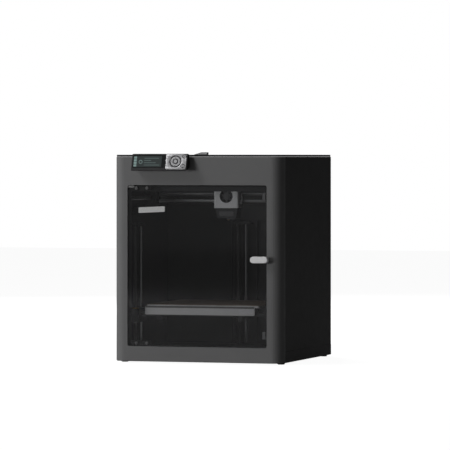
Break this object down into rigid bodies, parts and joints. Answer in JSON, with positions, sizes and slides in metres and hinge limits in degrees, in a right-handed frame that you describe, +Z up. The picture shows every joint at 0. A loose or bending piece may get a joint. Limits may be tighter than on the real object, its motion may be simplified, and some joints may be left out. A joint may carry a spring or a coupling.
{
  "type": "fdm printer",
  "caption": "Enclosed desktop FDM printer with a smoked glass front door, lift-off lid, tilted display, moving toolhead gantry and a build plate raised by lead screws.",
  "frame": {"origin": "centre of the object's box, on the surface that it stands on", "axes": "+Z up, +X to the right for someone in front of the printer, -Y out of its front door"},
  "size_m": [0.389, 0.413, 0.4648],
  "materials": {
    "frame_grey": "fine moulded texture, mid grey",
    "shell_black": "fine moulded texture, near black",
    "inner_black": "moulded, dark grey",
    "main_frame_metal": "powder coated, black",
    "smoked_glass": "smoked, polished",
    "lid_glass": "clear, polished",
    "light_grey": "satin, light grey",
    "silver": "satin metallic silver",
    "steel": "ground and polished",
    "motor_black": "black lacquer",
    "aluminium": "satin",
    "bed_aluminium": "milled, satin",
    "build_sheet": "textured powder coat, bronze brown",
    "brass": "turned",
    "head_grey": "satin, mid grey",
    "rubber": "moulded, black",
    "tube_white": "smooth, translucent white"
  },
  "bodies": {
    "root": {"base_tray": "shell_black", "foot_front_left": "rubber", "foot_front_right": "rubber", "foot_rear_left": "rubber", "foot_rear_right": "rubber", "front_frame": "frame_grey", "left_panel": "shell_black", "right_panel": "shell_black", "rear_panel": "shell_black", "main_frame": "main_frame_metal", "chamber_back_wall": "inner_black", "y_rod_left": "steel", "y_rod_right": "steel", "z_rod_left": "steel", "z_rod_right": "steel", "z_rod_rear": "steel", "xy_motor_left": "motor_black", "xy_motor_right": "motor_black", "z_motor": "motor_black", "z_belt": "rubber", "xy_belt_left": "rubber", "xy_belt_right": "rubber", "power_inlet": "inner_black", "power_supply": "aluminium", "display_housing": "shell_black"},
    "door": {"door_glass": "smoked_glass", "door_handle": "light_grey", "door_hinge_upper": "shell_black", "door_hinge_lower": "shell_black"},
    "lid": {"lid_frame": "shell_black", "lid_glass": "lid_glass"},
    "bed": {"bed_carriage": "main_frame_metal", "heatbed": "bed_aluminium", "build_sheet": "build_sheet"},
    "gantry": {"gantry_block_left": "main_frame_metal", "gantry_block_right": "main_frame_metal", "x_rod_upper": "steel", "x_rod_lower": "steel"},
    "toolhead": {"toolhead_carriage": "inner_black", "toolhead_cover": "head_grey", "hotend": "brass", "extruder_motor": "motor_black", "filament_tube": "tube_white"},
    "toolhead_fan": {"toolhead_fan_rotor": "inner_black"},
    "cutter": {"cutter_lever": "head_grey"},
    "screw_left": {"z_screw_left": "steel"},
    "screw_right": {"z_screw_right": "steel"},
    "screw_rear": {"z_screw_rear": "steel"},
    "z_drive_pulley": {"z_motor_pulley": "aluminium"},
    "xy_drive_left": {"xy_pulley_left": "aluminium"},
    "xy_drive_right": {"xy_pulley_right": "aluminium"},
    "exhaust_fan": {"exhaust_fan_rotor": "inner_black"},
    "switch_rocker": {"power_switch": "inner_black"},
    "dpad": {"dpad_ring": "silver"},
    "ok_key": {"ok_button": "silver"},
    "home_key": {"home_button": "silver"},
    "back_key": {"back_button": "silver"},
    "knob_left": {"bed_knob_left": "main_frame_metal"},
    "knob_right": {"bed_knob_right": "main_frame_metal"},
    "knob_rear": {"bed_knob_rear": "main_frame_metal"}
  },
  "joints": [
    {"name": "door_hinge", "type": "hinge", "parent": "root", "child": "door", "pos_m": [-0.1475, -0.1762, 0.21475], "axis": [0, 0, -1], "range_deg": [0, 120]},
    {"name": "lid_lift", "type": "slide", "parent": "root", "child": "lid", "axis": [0, 0, 1], "range_m": [0, 0.12]},
    {"name": "bed_lift", "type": "slide", "parent": "root", "child": "bed", "axis": [0, 0, 1], "range_m": [-0.058, 0.18]},
    {"name": "gantry_slide", "type": "slide", "parent": "root", "child": "gantry", "axis": [0, 1, 0], "range_m": [-0.132, 0.123], "deforming": ["filament_tube"]},
    {"name": "toolhead_slide", "type": "slide", "parent": "gantry", "child": "toolhead", "axis": [1, 0, 0], "range_m": [-0.138, 0.108], "deforming": ["filament_tube"]},
    {"name": "toolhead_fan_spin", "type": "hinge", "parent": "toolhead", "child": "toolhead_fan", "pos_m": [0.0122, -0.0022, 0.3665], "axis": [0, 1, 0], "continuous": true},
    {"name": "cutter_press", "type": "hinge", "parent": "toolhead", "child": "cutter", "pos_m": [0.0467, -0.0015, 0.352], "axis": [0, -1, 0], "range_deg": [0, 9], "stiffness_Nm_per_rad": 0.05},
    {"name": "screw_left_spin", "type": "hinge", "parent": "root", "child": "screw_left", "pos_m": [-0.157, -0.1425, 0.015], "axis": [0, 0, 1], "range_deg": [-8200, 2700]},
    {"name": "screw_right_spin", "type": "hinge", "parent": "root", "child": "screw_right", "pos_m": [0.157, -0.1425, 0.015], "axis": [0, 0, 1], "range_deg": [-8200, 2700]},
    {"name": "screw_rear_spin", "type": "hinge", "parent": "root", "child": "screw_rear", "pos_m": [-0.0095, 0.1475, 0.015], "axis": [0, 0, 1], "range_deg": [-8200, 2700]},
    {"name": "z_drive_spin", "type": "hinge", "parent": "root", "child": "z_drive_pulley", "pos_m": [0.06, 0.184, 0.015], "axis": [0, 0, 1], "range_deg": [-8200, 2700]},
    {"name": "xy_drive_left_spin", "type": "hinge", "parent": "root", "child": "xy_drive_left", "pos_m": [-0.167, 0.184, 0.3888], "axis": [0, 0, 1], "range_deg": [-1200, 1200]},
    {"name": "xy_drive_right_spin", "type": "hinge", "parent": "root", "child": "xy_drive_right", "pos_m": [0.167, 0.184, 0.3888], "axis": [0, 0, 1], "range_deg": [-1200, 1200]},
    {"name": "exhaust_fan_spin", "type": "hinge", "parent": "root", "child": "exhaust_fan", "pos_m": [0.105, 0.18475, 0.285], "axis": [0, 1, 0], "continuous": true},
    {"name": "switch_rock", "type": "hinge", "parent": "root", "child": "switch_rocker", "pos_m": [0.151, 0.1985, 0.071], "axis": [1, 0, 0], "range_deg": [0, 14]},
    {"name": "dpad_press", "type": "slide", "parent": "root", "child": "dpad", "axis": [0, 0.9568, -0.2907], "range_m": [0, 0.0007], "stiffness_N_per_m": 400},
    {"name": "ok_press", "type": "slide", "parent": "root", "child": "ok_key", "axis": [0, 0.9568, -0.2907], "range_m": [0, 0.0008], "stiffness_N_per_m": 400},
    {"name": "home_press", "type": "slide", "parent": "root", "child": "home_key", "axis": [0, 0.9568, -0.2907], "range_m": [0, 0.0006], "stiffness_N_per_m": 400},
    {"name": "back_press", "type": "slide", "parent": "root", "child": "back_key", "axis": [0, 0.9568, -0.2907], "range_m": [0, 0.0006], "stiffness_N_per_m": 400},
    {"name": "knob_left_turn", "type": "hinge", "parent": "bed", "child": "knob_left", "pos_m": [-0.101, -0.1305, 0.098], "axis": [0, 0, 1], "continuous": true},
    {"name": "knob_right_turn", "type": "hinge", "parent": "bed", "child": "knob_right", "pos_m": [0.089, -0.1305, 0.098], "axis": [0, 0, 1], "continuous": true},
    {"name": "knob_rear_turn", "type": "hinge", "parent": "bed", "child": "knob_rear", "pos_m": [-0.006, 0.0875, 0.098], "axis": [0, 0, 1], "continuous": true}
  ],
  "couplings": [
    {"joint": "screw_left_spin", "follows": "bed_lift", "rad_per_m": -785.4},
    {"joint": "screw_right_spin", "follows": "bed_lift", "rad_per_m": -785.4},
    {"joint": "screw_rear_spin", "follows": "bed_lift", "rad_per_m": -785.4},
    {"joint": "z_drive_spin", "follows": "bed_lift", "rad_per_m": -785.4},
    {"joint": "xy_drive_left_spin", "follows": "gantry_slide", "rad_per_m": 144.93},
    {"joint": "xy_drive_right_spin", "follows": "gantry_slide", "rad_per_m": -144.93}
  ]
}
